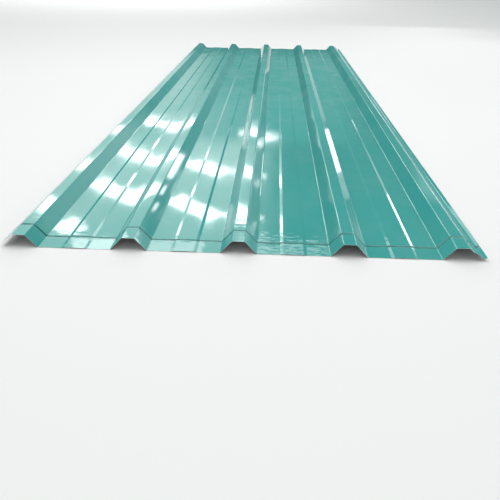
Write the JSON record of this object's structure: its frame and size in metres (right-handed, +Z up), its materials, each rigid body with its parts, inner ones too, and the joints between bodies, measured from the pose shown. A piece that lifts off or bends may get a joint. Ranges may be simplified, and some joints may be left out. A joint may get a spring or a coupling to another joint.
{
  "type": "corrugated metal sheet",
  "caption": "Long coated-steel roofing sheet rolled to a box profile, with flat-topped ribs, stepped pans, one drip edge and a crease across one end.",
  "frame": {"origin": "middle of the sheet's footprint, at the lowest point, with the sheet lying flat on its pans", "axes": "+X across the ribs from the plain edge to the drip edge, +Y along the ribs away from the creased end, +Z up from pans to crests"},
  "size_m": [0.9212, 3, 0.0265],
  "materials": {
    "coated_steel": "glossy teal coil coating over galvanised steel"
  },
  "bodies": {
    "root": {"corrugated_sheet": "coated_steel"}
  },
  "joints": []
}
